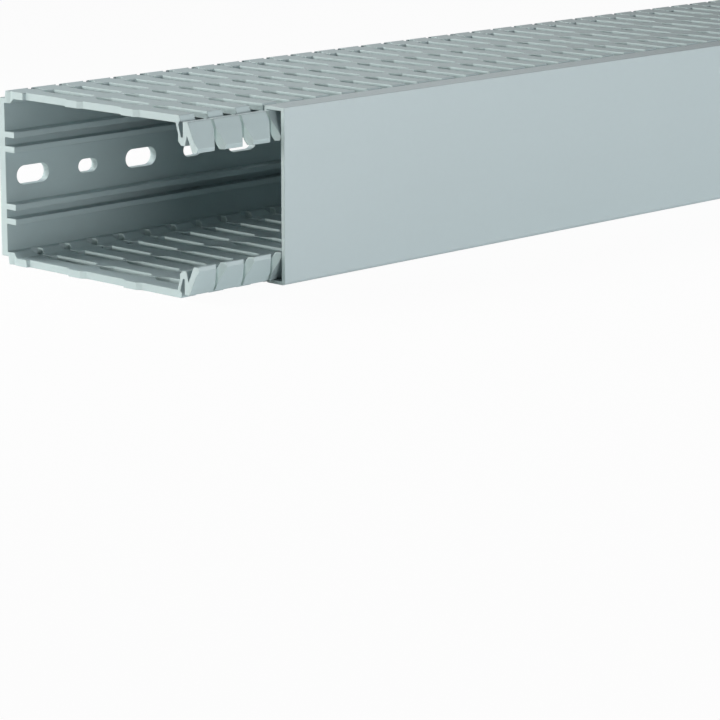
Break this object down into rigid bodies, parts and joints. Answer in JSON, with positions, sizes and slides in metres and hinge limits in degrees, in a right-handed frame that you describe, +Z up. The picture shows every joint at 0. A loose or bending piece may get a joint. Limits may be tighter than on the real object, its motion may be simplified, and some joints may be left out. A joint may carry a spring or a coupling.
{
  "type": "slotted wire duct",
  "caption": "Slotted plastic wiring duct: a trough with comb-like side walls, toothed fingers and a perforated base, with its clip-on cover slid partly along.",
  "frame": {"origin": "centre of the underside of the bounding box, level with the wall that the duct lies on", "axes": "+X along the duct towards the end where the cover stands out, -Y out of the cover, +Y out of the base, +Z up"},
  "size_m": [0.538, 0.1, 0.06],
  "materials": {
    "duct_pvc": "matte",
    "cover_pvc": "matte"
  },
  "bodies": {
    "duct": {"duct_trough": "duct_pvc"},
    "lid": {"cover": "cover_pvc"}
  },
  "joints": [
    {"name": "cover_slide", "type": "slide", "parent": "duct", "child": "lid", "axis": [1, 0, 0], "range_m": [-0.038, 0.44]}
  ]
}
